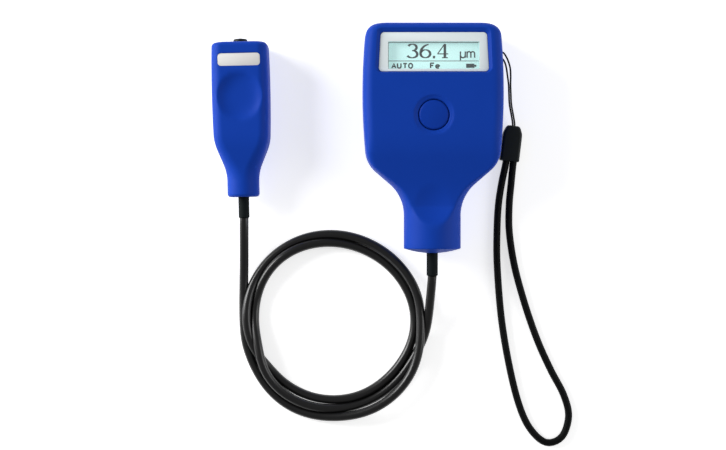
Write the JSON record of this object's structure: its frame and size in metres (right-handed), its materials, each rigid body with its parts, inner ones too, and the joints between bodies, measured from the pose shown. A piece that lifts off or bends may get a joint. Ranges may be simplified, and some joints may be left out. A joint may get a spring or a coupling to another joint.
{
  "type": "coating thickness gauge",
  "caption": "Hand-held coating thickness gauge with a display, a push button and a waisted nose, joined by a coiled cable to a small sprung probe, with a wrist strap.",
  "frame": {"origin": "on the flat back of the gauge, on its centre line and half way along its length", "axes": "+Z out of the display, +Y towards the display end, +X to the right of someone who reads the display"},
  "size_m": [0.1617, 0.1879, 0.028],
  "materials": {
    "blue_plastic": "fine satin moulding",
    "button_blue": "satin moulding",
    "clear_lens": "clear window with a printed grey border",
    "lcd_glass": "pale cyan reflective display",
    "white_plastic": "moulded",
    "board_green": "solder mask",
    "black_plastic": "fine moulded grain",
    "black_rubber": "satin cable jacket",
    "strap_cord": "smooth woven cord",
    "plated_steel": "nickel plated",
    "copper_wire": "wound enamelled wire",
    "cell_wrap": "plain sleeve",
    "label_paper": "plain paper label"
  },
  "bodies": {
    "instrument": {"front_case": "blue_plastic", "rear_case": "blue_plastic", "display_lens": "clear_lens", "lcd_panel": "lcd_glass", "lcd_frame": "white_plastic", "main_board": "board_green", "tact_switch": "black_plastic", "battery_upper": "cell_wrap", "battery_lower": "cell_wrap", "plus_plate": "plated_steel", "minus_plate": "plated_steel", "bridge_plate": "plated_steel", "minus_spring": "plated_steel", "bridge_spring": "plated_steel", "case_screws": "plated_steel", "gauge_sleeve": "black_rubber", "strap_string": "strap_cord", "strap_clasp": "black_plastic", "strap_band": "strap_cord", "probe_front_case": "blue_plastic", "probe_rear_case": "blue_plastic", "probe_label": "label_paper", "tip_bush": "black_plastic", "tip_spring": "plated_steel", "spring_seat": "black_plastic", "probe_board": "board_green", "probe_screws": "plated_steel", "probe_sleeve": "black_rubber", "cable_probe_lead": "black_rubber", "cable_coil": "black_rubber", "cable_gauge_lead": "black_rubber"},
    "button": {"push_button": "button_blue", "switch_plunger": "black_plastic"},
    "probe_tip": {"tip_sleeve": "black_plastic", "tip_core": "plated_steel", "tip_coil": "copper_wire"},
    "door": {"battery_door": "blue_plastic"}
  },
  "joints": [
    {"name": "button_press", "type": "slide", "parent": "instrument", "child": "button", "axis": [0, 0, -1], "range_m": [0, 0.0006], "stiffness_N_per_m": 1200, "springref_m": -0.0004},
    {"name": "tip_press", "type": "slide", "parent": "instrument", "child": "probe_tip", "axis": [0.0216, -0.9998, 0], "range_m": [0, 0.0015], "stiffness_N_per_m": 300, "springref_m": -0.002, "deforming": ["tip_spring"]},
    {"name": "door_slide", "type": "slide", "parent": "instrument", "child": "door", "axis": [0, 1, 0], "range_m": [0, 0.045]}
  ]
}
